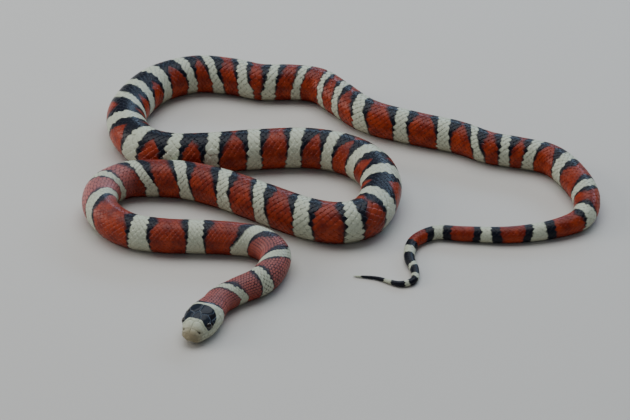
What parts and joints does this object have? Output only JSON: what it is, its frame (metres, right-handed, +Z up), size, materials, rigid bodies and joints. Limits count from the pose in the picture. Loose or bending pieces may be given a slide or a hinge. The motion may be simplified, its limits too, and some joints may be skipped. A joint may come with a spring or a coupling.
{
  "type": "mountain kingsnake",
  "caption": "Slender ringed snake lying in loose bends on its belly, with a plated head, round eyes and a tapering tail.",
  "frame": {"origin": "on the floor under the middle of the snake", "axes": "+Z up, the head points towards -Y and the bends run along X"},
  "size_m": [0.1948, 0.1786, 0.0151],
  "materials": {
    "skin_red": "satin",
    "skin_black": "satin",
    "skin_cream": "satin",
    "eye": "gloss"
  },
  "bodies": {
    "root": {"head": "skin_black", "lower_jaw": "skin_cream", "eye_left": "eye", "eye_right": "eye", "neck": "skin_red", "trunk_01": "skin_red", "trunk_02": "skin_red", "trunk_03": "skin_red", "trunk_04": "skin_red", "trunk_05": "skin_red", "trunk_06": "skin_red", "trunk_07": "skin_red", "trunk_08": "skin_red", "trunk_09": "skin_red", "trunk_10": "skin_red", "trunk_11": "skin_red", "trunk_12": "skin_red", "trunk_13": "skin_red", "trunk_14": "skin_red", "trunk_15": "skin_red", "trunk_16": "skin_red", "trunk_17": "skin_red", "trunk_18": "skin_red", "trunk_19": "skin_red", "tail_1": "skin_red", "tail_2": "skin_red", "tail_3": "skin_red", "tail_4": "skin_red", "tail_tip": "skin_black"}
  },
  "joints": []
}
